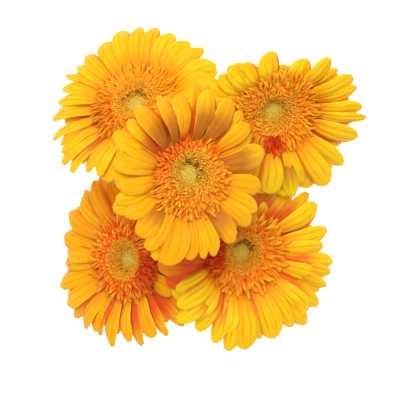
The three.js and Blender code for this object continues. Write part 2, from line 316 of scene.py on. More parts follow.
# heart: the heart of the flower's face. lean, tilt: the way that the face leans, and how much.
# foot: bearing of the stem round the vase. seed: what the flower's random draws start from.
# curl: how fast the rays bend over. arch: how far a ray's crest is above its tip.
# gold: how pale the yellow is. gaps: how red the rays behind are towards their roots, as painted
# shade.
# ring: reach of the short florets. straps: their count and width. pale: how yellow they are.
# red: bearing, spread and strength of the reddest of them, a painted shadow from the rays above.
# dark: bearing and strength of the disc's dark crescent, a ring of dark florets made darker by
# painted shade on the side of that bearing. orange: how orange the disc is.
# front, back: bearing of each ray's tip round the heart as the camera sees it, its reach, the
# ray's width, and its lift. shaded_root: bearings of the rays with painted shade, brown, over
# their inner half.
# deep: bearing, reach, redness (painted shade) and lift of rays that show only in gaps.
# hidden: evenly spread rays under a neighbour: the bearings between which they lie, their count,
# reach and lift, the reach of those below them, and the bearings and strength of their red,
# which is painted shade.
# Reaches, widths and lifts of rays are in millimetres, and all else is in metres and degrees.
FLOWERS = {
    "centre": dict(
        heart=(-0.0103, 0.0078, 0.338), lean=0, tilt=28, curl=-7.5, foot=178,
        arch=0.003, ring=0.025, dark=(50, 1), red=(125, 75, 0.6), seed=11, gold=0.22,
        orange=0, pale=0.32, gaps=0.72, straps=(720, 0.0013),
        front=(
            (14, 43, 12.5, 3), (30, 40, 7, 5), (40, 43, 8, 7), (60, 47, 10.5, 9),
            (77, 47, 10, 10), (96, 44, 8, 10), (111, 45, 8, 10), (127, 46, 10.5, 10),
            (153, 45, 10, 6), (161, 37, 8, 6), (170, 40, 8, 5), (186, 37, 11.5, 3), (200, 41, 8),
            (213, 40, 9), (231, 42, 10), (243, 46, 8), (258, 50, 12.5), (273, 46, 7),
            (282, 46, 6), (290, 46, 6), (305, 44, 9), (321, 43, 7.5), (334, 42, 7.5),
            (349, 40, 9.5),
        ),
        back=(
            (48, 45, 6, 6), (84, 49, 8, 9), (104, 44, 6, 8), (139, 43, 8, 8), (178, 41, 9, 3),
            (206, 44, 8), (249, 49, 8),
        ),
        deep=(),
        shaded_root=(14, 60, 77, 111, 127, 139, 231, 305),
    ),
    "top_left": dict(
        heart=(-0.0398, 0.0494, 0.292), lean=128, tilt=32, curl=-8, foot=112,
        arch=0.004, ring=0.0285, dark=(95, 0.8), red=(205, 60, 0.4), seed=12, gold=0.7,
        orange=0.3, pale=0.72, gaps=0.5, straps=(800, 0.0011),
        front=(
            (7, 44, 9), (17, 48, 9), (28, 51, 9), (41, 50, 8), (50, 47, 8), (63, 46, 9),
            (78, 45.5, 10.5), (90, 44.5, 7.5), (101, 44, 9), (119, 40.5, 10.5), (139, 41, 7.5),
            (148, 41, 6.5), (158, 45, 5), (167, 44, 7), (177, 45.5, 8), (191, 50, 7),
            (203, 53, 6), (212, 52, 6), (218, 55.5, 7.5), (234, 49, 9), (243, 47, 7.5),
        ),
        back=(
            (12, 50, 9), (22, 50, 8), (86, 43, 7), (110, 40.5, 8), (130, 36, 8), (153, 40, 7),
            (183, 45, 7), (207, 50, 6), (224, 55, 8),
        ),
        deep=((250, 48, 0.15), (262, 50, 0.15)),
        shaded_root=(207, 224),
        hidden=dict(start=254, end=359, count=6, reach=35, lift=0, deep=46),
    ),
    "top_right": dict(
        heart=(0.0374, 0.0454, 0.302), lean=300, tilt=34, curl=-0.5, foot=45,
        arch=0.001, ring=0.0285, dark=(40, 0.35), red=(268, 26, 1), seed=13, gold=1.05,
        orange=0.5, pale=0.6, gaps=0.5, straps=(760, 0.0012),
        front=(
            (3, 51.5, 9), (22, 50, 10.5), (40, 44.5, 9.5), (56, 35, 10), (95, 32.5, 11.5),
            (122, 31, 9), (137, 35, 8, -1), (148, 36, 8, -2), (160, 37, 9, -3), (256, 34, 9),
            (268, 48, 11), (286, 43, 6), (293, 45, 8), (308, 53, 10.5), (323, 51, 9.5),
            (342, 51, 10.5), (356, 54, 6.5),
        ),
        back=(
            (14, 50, 7), (32, 44, 7), (76, 26.5, 10), (110, 26, 9), (130, 33.5, 7), (282, 51, 9),
            (302, 49, 8), (314, 48, 7), (352, 48, 6),
        ),
        deep=((262, 48, 0.3), (278, 50, 0.3), (296, 49, 0.3)),
        shaded_root=(282, 302),
        hidden=dict(start=174, end=244, count=5, reach=36, lift=0, deep=46),
    ),
    "bottom_left": dict(
        heart=(-0.046, -0.0414, 0.262), lean=180, tilt=37, curl=-5.8, foot=245,
        arch=0.0035, ring=0.03, dark=(250, 0.25), red=(340, 50, 0.9), seed=14, gold=0.15,
        orange=0.5, pale=0, gaps=0.92, straps=(700, 0.0014),
        front=(
            (116, 52, 9.5), (128, 47.5, 8), (141, 46.5, 9.5), (160, 42, 11), (174, 38, 9),
            (184, 39, 8), (199, 45, 9), (217, 47, 11.5), (237, 50, 9), (244, 49, 6),
            (257, 54, 8.5), (270, 50.5, 8), (288, 49.5, 10), (321, 34, 9.5, -3),
        ),
        back=(
            (122, 50, 8), (134, 45, 7), (206, 42, 8), (226, 48.5, 8), (249, 50, 6),
            (278, 53, 8.5), (297, 51.5, 9), (309, 52, 8, -6),
        ),
        deep=(
            (98, 54, 0.3, -6), (106, 56, 0.1, -4), (318, 48, 1, -8), (328, 45, 1, -10),
            (340, 41, 1, -10),
        ),
        shaded_root=(278, 297, 309),
        hidden=dict(
            start=350, end=464, count=7, reach=31, lift=-8, deep=43, red=(345, 375, 1),
        ),
    ),
    "bottom_right": dict(
        heart=(0.0204, -0.0366, 0.268), lean=335, tilt=27, curl=-2, foot=312,
        arch=0.002, ring=0.033, dark=(75, 1.35), red=(180, 50, 1), seed=15, gold=0.95,
        orange=0.6, pale=0.35, gaps=0.8, straps=(560, 0.0018),
        front=(
            (3, 50, 11.5), (15, 54, 9.5), (30, 54, 10.5), (212, 45, 8), (222, 50, 9.5),
            (234, 51, 9.5), (257, 52, 11), (272, 59, 11.5), (291, 56, 12), (306, 55, 7.5),
            (319, 54, 9.5), (341, 51, 9.5),
        ),
        back=(
            (39, 54, 9), (50, 45, 9), (230, 57, 9), (241, 54, 8), (254, 57, 9), (265, 60, 9),
            (282, 54, 7), (311, 59, 9), (325, 57, 9), (332, 53, 7), (339, 56, 7), (346, 56, 8),
            (353, 56, 9),
        ),
        deep=(
            (50, 47, 0.8), (60, 49, 0.8), (70, 50, 0.8), (194, 47, 1), (203, 48, 1),
            (212, 48, 0.6), (225, 50, 0.1),
        ),
        shaded_root=(39, 49, 50, 60, 70, 71, 82),
        hidden=dict(
            start=60, end=198, count=9, reach=36, lift=0, deep=50, red=(160, 200, 0.98),
        ),
    ),
}

STEM_RADIUS = 0.0032
STEM_TOP_RADIUS = 0.0027
STEM_FOOT_SWELL = (0.12, 0.06)  # how much wider the cut foot is, and over what share of the stem
STEM_RIBS = 9
STEM_RIB_DEPTH = 0.00009
STEM_CIRCLE_FOOT = 0.015
STEM_CIRCLE_NECK = 0.019
STEM_FOOT_LEVEL = VASE_FLOOR + 0.0008
NECK_LEVEL = 0.15
STEM_TOP = -0.0215  # below the flower's heart, inside the calyx's foot
STEM_BEND = 0.36
STEM_SIDES = 40
STEM_STEPS = 90
# The darker and the paler green of the foot, the stalk and the top.
STEM_COLOURS = (
    ((0.42, 0.3, 0.12), (0.5, 0.47, 0.2)),
    ((0.16, 0.25, 0.045), (0.27, 0.38, 0.085)),
    ((0.2, 0.3, 0.07), (0.33, 0.42, 0.15)),
)


def head_axes(flower):
    """The head's own axes: across it, up it, and out of its face."""
    lean, tilt = radians(flower["lean"]), radians(flower["tilt"])
    out = Vector((sin(tilt) * cos(lean), sin(tilt) * sin(lean), cos(tilt)))
    across = (Vector((1, 0, 0)) - out * out.x).normalized()
    return across, out.cross(across), out


def new_tree(name, numbers, whole_numbers):
    """A geometry tree with a named input for each size, what it starts from, and those inputs."""
    tree = bpy.data.node_groups.new(name, "GeometryNodeTree")
    sockets = [("Geometry", "OUTPUT", "Geometry"), ("Geometry", "INPUT", "Geometry")]
    sockets += [(size, "INPUT", "Float") for size in numbers]
    sockets += [(size, "INPUT", "Int") for size in whole_numbers]
    for label, way, kind in sockets:
        tree.interface.new_socket(label, in_out=way, socket_type=f"NodeSocket{kind}")
    entry = tree.nodes.new("NodeGroupInput")
    sizes = {size: Wire(entry.outputs[size]) for size in (*numbers, *whole_numbers)}
    return tree, Wire(entry.outputs["Geometry"]), sizes


def keep(tree, geometry, **numbers):
    """Keeps numbers on each point of a geometry, each under its name."""
    for name, value in numbers.items():
        feeds = {"Geometry": geometry, "Name": name, "Value": value}
        geometry = add(tree, "GeometryNodeStoreNamedAttribute", feeds, data_type="FLOAT")
    return geometry


def kept(tree, name):
    return add(tree, "GeometryNodeInputNamedAttribute", {"Name": name}, data_type="FLOAT")


def finish_tree(tree, geometry, material):
    real = add(tree, "GeometryNodeRealizeInstances", {0: geometry})
    smooth = add(tree, "GeometryNodeSetShadeSmooth", {0: real})
    dressed = add(tree, "GeometryNodeSetMaterial", {"Geometry": smooth, "Material": material})
    feed(tree.nodes.new("NodeGroupOutput").inputs[0], dressed)


def grown(name, tree, sizes, start=None):
    """Runs a tree and gives its result as a plain mesh."""
    seedling = linked(bpy.data.objects.new(name, start or bpy.data.meshes.new(name)))
    growth = seedling.modifiers.new("growth", "NODES")
    growth.node_group = tree
    for item in tree.interface.items_tree:
        if item.in_out == "INPUT" and item.name in sizes:
            whole = item.socket_type == "NodeSocketInt"
            growth[item.identifier] = int(sizes[item.name]) if whole else float(sizes[item.name])
    view = bpy.context.evaluated_depsgraph_get()
    ripe = seedling.evaluated_get(view)
    mesh = bpy.data.meshes.new_from_object(ripe, preserve_all_data_layers=True, depsgraph=view)
    bpy.data.objects.remove(seedling)
    mesh.name = name
    return mesh


def stem_path(name, flower):
    """The stem's middle line as a curve: straight to the neck, then bending to the head."""
    out = head_axes(flower)[2]
    bearing = radians(flower["foot"])
    way = Vector((cos(bearing), sin(bearing), 0))
    foot_point = way * STEM_CIRCLE_FOOT + Vector((0, 0, STEM_FOOT_LEVEL))
    neck = way * STEM_CIRCLE_NECK + Vector((0, 0, NECK_LEVEL))
    top = Vector(flower["heart"]) + out * STEM_TOP
    pull = STEM_BEND * (top - neck).length
    first = neck + (neck - foot_point).normalized() * pull
    second = top - out * pull
    path = [foot_point.lerp(neck, share) for share in np.linspace(0, 1, STEM_STEPS // 2)]
    for s in np.linspace(0, 1, STEM_STEPS // 2)[1:]:
        near = neck * (1 - s) ** 3, first * 3 * s * (1 - s) ** 2
        far = second * 3 * s * s * (1 - s), top * s**3
        path.append(sum((*near, *far), Vector()))
    curve = bpy.data.curves.new(name, "CURVE")
    curve.dimensions = "3D"
    spline = curve.splines.new("POLY")
    spline.points.add(len(path) - 1)
    for point, place in zip(spline.points, path):
        point.co = (*place, 1)
    return curve


green = Finish(
    "stem_skin", Roughness=0.48, Sheen_Weight=0.25, Sheen_Roughness=0.4, Subsurface_Weight=0.15,
    Subsurface_Radius=(0.6, 1, 0.2), Subsurface_Scale=0.001,
)
along, around = green.stored("along"), green.stored("around")
streaks = green.noise(green.point(around * 40, along * 9), 1, 3)
grain = green.noise(green.object_place((1, 1, 0.3)), 600, 2)
foot_colour, stalk_colour, top_colour = (green.mixed(streaks, *pair) for pair in STEM_COLOURS)
green.colour(foot_colour, (along.step(0, 0.3), stalk_colour), (along.step(0.75, 1), top_colour))
green.bump(streaks + grain * 0.4, 0.00025)

tree, start, sizes = new_tree(
    "stem", ("Foot radius", "Top radius", "Rib depth", "Ribs"), ("Sides",)
)
share = add(tree, "GeometryNodeSplineParameter", output="Factor")
swell = 1 + STEM_FOOT_SWELL[0] * (1 - share.step(0, STEM_FOOT_SWELL[1]))
taper = sizes["Foot radius"] * (1 - share) + sizes["Top radius"] * share
rail = add(tree, "GeometryNodeSetCurveRadius", {"Curve": start, "Radius": taper * swell})
circle = add(tree, "GeometryNodeCurvePrimitiveCircle", {"Resolution": sizes["Sides"], "Radius": 1})
feeds = {
    "Curve": keep(tree, rail, along=share), "Profile Curve": keep(tree, circle, around=share),
    "Scale": add(tree, "GeometryNodeInputRadius"), "Fill Caps": True,
}
tube = add(tree, "GeometryNodeCurveToMesh", feeds)
ribs = (kept(tree, "around") * sizes["Ribs"] * 2 * pi).maths("SINE") * sizes["Rib depth"]
feeds = {0: add(tree, "GeometryNodeInputNormal"), "Scale": ribs}
push = add(tree, "ShaderNodeVectorMath", feeds, operation="SCALE")
ribbed = add(tree, "GeometryNodeSetPosition", {0: tube, "Offset": push})
finish_tree(tree, ribbed, green.material)

stem_sizes = {
    "Foot radius": STEM_RADIUS, "Top radius": STEM_TOP_RADIUS, "Rib depth": STEM_RIB_DEPTH,
    "Ribs": STEM_RIBS, "Sides": STEM_SIDES,
}
for name, flower in FLOWERS.items():
    mesh = grown(f"{name}_stalk", tree, stem_sizes, stem_path(name, flower))
    settle(f"{name}_stalk", mesh, f"{name}_stem")


# ---- the calyxes -----------------------------------------------
# The green cup that holds each head together: the stem's widened end, clad in three rows of
# narrow, downy, overlapping bracts that grew from it, with free tips under the rays.

# The cup's side, from the stem up: radius and height below the flower's heart.
CUP_LINE = (
    (0, -0.0222), (0.0029, -0.0222), (0.0036, -0.0205), (0.0052, -0.0172), (0.0078, -0.0135),
    (0.0105, -0.0103), (0.0121, -0.008), (0.0124, -0.0066), (0.0105, -0.0058), (0, -0.0056),
)
CUP_SIDES = 48
# Each row of bracts: count, radius and height of its foot, length, width, slope and curl.
BRACT_ROWS = (
    (13, 0.0042, -0.0196, 0.0098, 0.0032, 62, 26),
    (17, 0.006, -0.0166, 0.0112, 0.0034, 52, 22),
    (21, 0.0082, -0.0136, 0.012, 0.0034, 44, 12),
)
BRACT_GRID = (9, 5, 2)
BRACT_THICKNESS = 0.0006
BRACT_CROWN = 0.0016  # how far its middle stands out over its sides
BRACT_COLOURS = (0.1, 0.17, 0.035), (0.2, 0.28, 0.07)
BRACT_TIP_COLOUR = (0.3, 0.2, 0.06)
DOWN_COLOUR = (0.36, 0.43, 0.2)


def head_place(flower):
    """The move from the head's own frame to its place in the bunch."""
    turn = Matrix(head_axes(flower)).transposed().to_4x4()
    return Matrix.Translation(flower["heart"]) @ turn


def chance(tree, low, high, seed):
    """A number between low and high, another one for each point."""
    feeds = {2: low, 3: high, "Seed": seed}
    return add(tree, "FunctionNodeRandomValue", feeds, 1, data_type="FLOAT")


def spots_in(tree, count):
    """As many points as asked for, and the number that each has among them."""
    return add(tree, "GeometryNodePoints", {"Count": count}), add(tree, "GeometryNodeInputIndex")


def strap(tree, grid):
    """A block of 1 x 1 x 1, with points enough to be bent into a bract or a floret."""
    counts = dict(zip(("Vertices X", "Vertices Y", "Vertices Z"), grid))
    return add(tree, "GeometryNodeMeshCube", {"Size": (1, 1, 1), **counts})


def copies_on(tree, spots, template):
    """A copy of a template on each spot, and where in the template each of its points lies."""
    copies = add(tree, "GeometryNodeInstanceOnPoints", {"Points": spots, "Instance": template})
    bodies = add(tree, "GeometryNodeRealizeInstances", {0: copies})
    here = {0: add(tree, "GeometryNodeInputPosition")}
    return bodies, *(add(tree, "ShaderNodeSeparateXYZ", here, axis) for axis in "XYZ")


def set_round(tree, bodies, radius, across, level, material):
    """Ends a tree: moves each point out from the head's axis, at the bearing of its copy."""
    bearing = kept(tree, "bearing")
    c, s = bearing.maths("COSINE"), bearing.maths("SINE")
    feeds = {0: c * radius - s * across, 1: s * radius + c * across, 2: level}
    place = add(tree, "ShaderNodeCombineXYZ", feeds)
    bent = add(tree, "GeometryNodeSetPosition", {0: bodies, "Position": place})
    finish_tree(tree, bent, material)


def joined(name, meshes):
    """One mesh of several, with their numbers kept on their points."""
    owners = [linked(bpy.data.objects.new(name, mesh)) for mesh in meshes]
    with bpy.context.temp_override(
        active_object=owners[0], object=owners[0], selected_editable_objects=owners
    ):
        bpy.ops.object.join()
    mesh = owners[0].data
    bpy.data.objects.remove(owners[0])
    return mesh


down = Finish("bract_skin", Roughness=0.55, Sheen_Weight=0.5, Sheen_Roughness=0.45)
along, tone = down.stored("along"), down.stored("tone")
fibres = down.noise(down.object_place(), 900, 3)
leaf = down.mixed(tone, *BRACT_COLOURS)
down.colour(leaf, (along.step(0.75, 1), BRACT_TIP_COLOUR), (fibres * 0.5, DOWN_COLOUR))
down.bump(fibres, 0.0003)

tree, _, sizes = new_tree(
    "bracts", ("Foot radius", "Foot height", "Length", "Width", "Slope", "Curl"), ("Count", "Seed")
)
spots, index = spots_in(tree, sizes["Count"])
seed = sizes["Seed"]
spots = keep(
    tree, spots,
    bearing=index / sizes["Count"] * 2 * pi + chance(tree, -0.06, 0.06, seed),
    tone=chance(tree, 0, 1, seed + 1),
    stretch=chance(tree, 0.88, 1.1, seed + 2),
)
bodies, x, side, layer = copies_on(tree, spots, strap(tree, BRACT_GRID))
along = x + 0.5
bodies = keep(tree, bodies, along=along)
slope = (sizes["Slope"] - sizes["Curl"] * along) * (pi / 180)
middle = (sizes["Slope"] - sizes["Curl"] * along * 0.5) * (pi / 180)
length = sizes["Length"] * kept(tree, "stretch")
run = middle.maths("COSINE") * length * along
rise = middle.maths("SINE") * length * along
across = side * sizes["Width"] * ((along * 1.15 + 0.35) * (1 - along**3))
thick = (layer * BRACT_THICKNESS + BRACT_THICKNESS - side * side * BRACT_CROWN) * (1 - along * 0.6)
radius = sizes["Foot radius"] + run + slope.maths("SINE") * thick
level = sizes["Foot height"] + rise - slope.maths("COSINE") * thick
set_round(tree, bodies, radius, across, level, down.material)

points, faces = lathe(CUP_LINE, CUP_SIDES)
for name, flower in FLOWERS.items():
    meshes = [plain_mesh(f"{name}_cup", points, faces, down.material)]
    for row, (count, radius, level, length, width, slope, curl) in enumerate(BRACT_ROWS):
        row_sizes = {
            "Foot radius": radius, "Foot height": level, "Length": length, "Width": width,
            "Slope": slope, "Curl": curl, "Count": count, "Seed": flower["seed"] * 10 + row,
        }
        meshes.append(grown(f"{name}_bracts", tree, row_sizes))
    mesh = joined(f"{name}_bract_cup", meshes)
    mesh.transform(head_place(flower))
    settle(f"{name}_bract_cup", mesh, f"{name}_calyx")


# ---- the ray florets -------------------------------------------
# The long yellow "petals". Each is one floret: a soft, ribbed strap, narrow and channelled at
# the root, widest past its middle, blunt and faintly toothed at the tip. They grow in whorls.

RAY_ROOT_RADIUS = 0.011
RAY_ROOT_LEVEL = -0.0035
RAY_WHORL_STEP = 0.0018
RAY_SLOPE = 0.42
RAY_SPRING = 1.45
RAY_CREST = 0.67
RAY_USUAL_LENGTH = 0.036
RAY_FULLNESS = 1.3  # a ray's full width over what its neighbours leave in view
RAY_ROOT_SHARE = 0.17  # a ray's width at its root over its full width
RAY_TIP_ARC = radians(60)
RAY_THICKNESS = 0.00055
RAY_EDGE = 0.00018
RAY_NOTCH = (0.006, 0.4, 0.12)  # depth, place and width of the notches between the tip's teeth
RAY_PLEAT = 0.00018
RAY_GROOVE = (0.0002, 0.34, 0.08)  # depth, place and width of the two grooves along it
RAY_WAVES = 1.7
# What differs from ray to ray, between two limits, in the order in which it is drawn.
RAY_LIMITS = {
    "round end": (0.22, 0.32),  # share of the length
    "sway": (-0.035, 0.035),  # bend sideways, as a share of the length
    "twist": (-14, 18),  # degrees at the tip
    "roll": (6, 13),  # degrees all along
    "cup": (-0.36, -0.08),  # how far the sides hang
    "pleats": (0.5, 1.2),
    "wave": (0.0001, 0.0006),
    "wave turn": (0, 2 * pi),
    "arch": (0.8, 1.3),
    "crest": (0.6, 0.74),  # share of the length
}
RAY_TONE_SPREAD = 0.25
RAY_ROWS = 30
RAY_COLUMNS = 17
RAY_TIP_TURNS = 24  # rounds of nearing to the length that puts a tip where it is seen
PER_METRE = 1000  # millimetres
HIDDEN_WIDTH = 0.01
DEEP_WIDTH = 0.012
# Fillers are rays that lie under both whorls and close the gaps between them.
FILLER_START = 5
FILLER_STEP = 11
FILLER_SHARE = 0.86
FILLER_WIDTH = 0.0105
FILLER_DROP = 0.0038
FILLER_SHADE_RED = 0.95  # how red the inner part of a ray under the others is: painted shade

# The root and shoulder colours are partly the rays' own colour, partly painted shade towards the disc.
PETAL_ROOT = (0.68, 0.03, 0.004)
PETAL_SHOULDER = (0.96, 0.33, 0.004)
PETAL_YELLOWS = (0.98, 0.43, 0.001), (1, 0.7, 0.008)
PETAL_VEIN = (0.8, 0.27, 0.002)
# painted shade in the grooves
PETAL_GROOVE_SHADE = (0.68, 0.17, 0.003)
PETAL_PATCH = (1, 0.58, 0.006)
# painted highlight on the raised edge of each ray
PETAL_RIM_HIGHLIGHT = (1, 0.68, 0.03)
# painted shade where a ray's edge goes under its neighbour
PETAL_TUCK_SHADE = (0.64, 0.14, 0.006)
# painted shade: the brown over the inner half of some rays
PETAL_ROOT_SHADE = (0.5, 0.15, 0.012)
# painted shade: the red of rays in the gaps and under others
PETAL_SHADE_RED = (0.85, 0.1, 0.018)
PETAL_UNDERSIDE = (0.9, 0.36, 0.015)


def ray_tip_level(flower, length, lift, drop):
    return RAY_ROOT_LEVEL - drop + RAY_SLOPE * length + flower["curl"] * length**2 + lift


def ray_from_above(flower, bearing, reach, lift, drop):
    """A ray's bearing and length in the head's frame, from where the camera sees its tip."""
    across, up, out = head_axes(flower)
    det = across.x * up.y - up.x * across.y
    heart, eye = Vector(flower["heart"]), Vector(CAMERA_PLACE)
    seen = heart.xy + reach * Vector((cos(radians(bearing)), sin(radians(bearing))))
    length, height = reach - RAY_ROOT_RADIUS, 0
    for _ in range(RAY_TIP_TURNS):
        rise = ray_tip_level(flower, length, lift, drop)
        shrink = 1 - height / (eye.z - heart.z)
        px, py = eye.xy + (seen - eye.xy) * shrink - heart.xy - rise * out.xy
        x = (up.y * px - up.x * py) / det
        y = (across.x * py - across.y * px) / det
        length = hypot(x, y) - RAY_ROOT_RADIUS
        height = across.z * x + up.z * y + out.z * rise
    return np.arctan2(y, x), length


def ease(x):
    x = np.clip(x, 0, 1)
    return x * x * (3 - 2 * x)


def bell(x, place, width):
    return np.exp(-(((x - place) / width) ** 2))


def one_ray(flower, bearing, reach, width, lift, drop, chance_of):
    """Upper and under side of one ray, as grids of points in the head's frame."""
    angle, length = ray_from_above(flower, bearing, reach, lift, drop)
    round_end, sway, twist, roll, cup, pleats, wave, wave_turn, arch, crest = (
        chance_of.uniform(*limits) for limits in RAY_LIMITS.values()
    )
    s = np.linspace(0, 1, RAY_ROWS)[:, None]
    t = np.linspace(-1, 1, RAY_COLUMNS)[None, :]

    # The tip is half an ellipse: its sides run on from the strap's and its last row is its arc.
    end = np.clip((s - 1 + round_end) / round_end, 0, 1)
    breadth = RAY_ROOT_SHARE + (1 - RAY_ROOT_SHARE) * ease((s + 0.05) / 0.78)
    half_width = width * RAY_FULLNESS / 2 * breadth * np.cos(end * RAY_TIP_ARC)
    bulge = (1 - np.sqrt(1 - (t * cos(RAY_TIP_ARC)) ** 2)) / (1 - sin(RAY_TIP_ARC))
    rounding = end - (end - np.sin(end * RAY_TIP_ARC)) * bulge
    notch_depth, *notch = RAY_NOTCH
    teeth = notch_depth * bell(np.abs(t), *notch) * end**3
    run = length * (np.minimum(s, 1 - round_end) + round_end * rounding - teeth)

    # It springs from the disc to its crest and falls from there to its tip.
    tip = ray_tip_level(flower, length, lift, drop)
    arched = flower["arch"] * arch * length / RAY_USUAL_LENGTH
    climb = (tip + arched - RAY_ROOT_LEVEL + drop) * (1 - (1 - np.minimum(s / crest, 1)) ** RAY_SPRING)
    fall = arched * (np.maximum(s - crest, 0) / (1 - crest)) ** 2
    level = RAY_ROOT_LEVEL - drop + climb - fall

    hollow = (0.3 * (1 - ease(s / 0.45)) + cup * ease(s / 0.5)) * t**2 * half_width
    swell = ease(s / 0.15) * (1 - ease((s - 0.82) / 0.18))
    pleat = RAY_PLEAT * pleats * swell * np.cos(3 * pi * t)
    groove_depth, *groove = RAY_GROOVE
    grooves = -groove_depth * swell * bell(np.abs(t), *groove)
    turn = 2 * pi * RAY_WAVES * s + wave_turn + 1.3 * t
    ripple = wave * np.sin(turn) * np.abs(t) ** 3 * ease(s / 0.4)
    fold = np.radians(roll + twist * s**1.5)
    side = t * half_width
    r = RAY_ROOT_RADIUS + run
    y = side * np.cos(fold) + sway * length * s**2
    z = level + side * np.sin(fold) + hollow + pleat + grooves + ripple
    thickness = RAY_EDGE + (RAY_THICKNESS - RAY_EDGE) * (1 - t**4) * (1 - 0.5 * s**3)
    grids = []
    for deep in (0, 1):
        grid = np.stack([
            np.cos(angle) * r - np.sin(angle) * y,
            np.sin(angle) * r + np.cos(angle) * y,
            z - deep * thickness + 0 * r,
        ], -1)
        grids.append(grid.reshape(-1, 3))
    return grids


def ray_faces():
    """Faces of one closed ray: its upper side, its under side and the thin edge between them."""
    grid = np.arange(RAY_ROWS * RAY_COLUMNS).reshape(RAY_ROWS, RAY_COLUMNS)
    a, b, c, d = grid[:-1, :-1], grid[:-1, 1:], grid[1:, 1:], grid[1:, :-1]
    upper = np.stack([d, c, b, a], -1).reshape(-1, 4)
    under = upper[:, ::-1] + grid.size
    rim = np.concatenate([grid[0, :-1], grid[:-1, -1], grid[-1, :0:-1], grid[:0:-1, 0]])
    after = np.roll(rim, -1)
    edge = np.stack([rim, rim + grid.size, after + grid.size, after], -1)
    return np.concatenate([upper, under, edge[:, ::-1]])


def whorl(name, flower, rays, material):
    """One mesh of a whorl of rays. rays: bearing, reach, width, lift, drop and painted red shade of
    each.
    """
    chance_of = np.random.default_rng(flower["seed"] + 100 * len(rays))
    across = np.tile(np.linspace(0, 1, RAY_COLUMNS), 2 * RAY_ROWS)
    along = np.tile(np.repeat(np.linspace(0, 1, RAY_ROWS), RAY_COLUMNS), 2)
    under = np.repeat([0, 1], RAY_ROWS * RAY_COLUMNS)
    points, faces, numbers = [], [], []
    for order, (bearing, reach, width, lift, drop, red) in enumerate(rays):
        points += one_ray(flower, bearing, reach, width, lift, drop, chance_of)
        faces.append(ray_faces() + order * across.size)
        tone = flower["gold"] + chance_of.uniform(-RAY_TONE_SPREAD, RAY_TONE_SPREAD)
        shaded_root = float(bearing in flower["shaded_root"])
        numbers.append(np.stack(np.broadcast_arrays(across, along, under, tone, red, shaded_root)))
    mesh = plain_mesh(name, np.concatenate(points), np.concatenate(faces).tolist(), material)
    keys = ("across", "along", "under", "tone", "flush", "shaded_root")
    for key, values in zip(keys, np.concatenate(numbers, 1)):
        store = mesh.attributes.new(key, "FLOAT", "POINT")
        store.data.foreach_set("value", values)
    mesh.transform(head_place(flower))
    return mesh


def planned_rays(flower):
    """Both whorls of a flower: bearing, reach, width, lift, drop and painted red shade of each ray."""
    whorls, covered = {"front": [], "back": []}, []
    hidden = flower.get("hidden")
    for side, drop, shift, red in (
        ("front", 0, 0, 0), ("back", RAY_WHORL_STEP, 0.5, flower["gaps"])
    ):
        for bearing, *sizes in flower[side]:
            reach, width, lift = (size / PER_METRE for size in (*sizes, 0)[:3])
            whorls[side].append((bearing, reach, width, lift, drop, red))
        if hidden:
            step = (hidden["end"] - hidden["start"]) / hidden["count"]
            reach, lift = hidden["reach"] / PER_METRE, hidden["lift"] / PER_METRE
            low, high, reddest = hidden.get("red", (0, 0, 0))
            for place in range(hidden["count"]):
                bearing = hidden["start"] + step * (place + shift)
                red = reddest if low <= bearing <= high else flower["gaps"]
                covered.append((bearing, reach, HIDDEN_WIDTH, lift, drop, red))
            whorls[side] += covered[-hidden["count"]:]
    seen = sorted(whorls["front"] + whorls["back"], key=lambda ray: ray[0] % 360)
    bearings = np.array([ray[0] % 360 for ray in seen])
    for bearing in np.arange(FILLER_START, 360, FILLER_STEP):
        gaps = np.abs((bearings - bearing + 180) % 360 - 180)
        near = seen[int(np.argmin(gaps))]
        lift = min(seen[place][3] for place in np.argsort(gaps)[:3])
        reach, red = near[1] * FILLER_SHARE, FILLER_SHADE_RED
        if near in covered:
            reach, red = hidden["deep"] / PER_METRE, near[5]
        whorls["back"].append((bearing, reach, FILLER_WIDTH, lift, FILLER_DROP, red))
    for ray in flower["deep"]:
        bearing, reach, red, lift = (*ray, 0)[:4]
        reach, lift = reach / PER_METRE, lift / PER_METRE
        whorls["back"].append((bearing, reach, DEEP_WIDTH, lift, FILLER_DROP, red))
    return whorls


petal = Finish(
    "petal_skin", Roughness=0.5, Specular_IOR_Level=0.12, Subsurface_Weight=0.35,
    Subsurface_Radius=(1, 0.4, 0.05), Subsurface_Scale=0.0008,
)
across, along = petal.stored("across"), petal.stored("along")
under, tone, flush = petal.stored("under"), petal.stored("tone"), petal.stored("flush")
# Painted shade: the listed rays are brown over their inner half, fading out towards the tip.
shaded_root = petal.stored("shaded_root") * (1 - along.step(0.5, 0.9))
veins = petal.noise(petal.point(across * 34 + tone * 90, along * 2.2, tone * 40), 1, 3)
blotches = petal.noise(petal.object_place(), 110, 2)
off_middle = (across - 0.5).maths("ABSOLUTE")
# Painted shade: a darker line along each of the two grooves.
line = (off_middle - 0.17).maths("ABSOLUTE").step(0.05, 0.012)
line = line * along.step(0.2, 0.4) * (1 - along.step(0.75, 0.98))
# Painted highlight: a pale thin rim along the raised edge of each ray.
rim = off_middle.step(0.43, 0.495) * along.step(0.25, 0.5)
# Painted shade: darker towards the lower edge of each ray, which goes under its neighbour.
tuck_shade = (1 - across.step(0.06, 0.19)) * 0.65 + (1 - across.step(0.1, 0.6)) * 0.18
tuck_shade = tuck_shade * along.step(0.05, 0.25) * (1 - along.step(0.72, 0.98))
# Painted shade: rays behind and under others are red from the root out, further the redder they are;
# the reddest are red all over.
inward = 1 - along.step(flush * 0.6, flush * 0.6 + 0.35) * (1 - flush.step(0.96, 1))
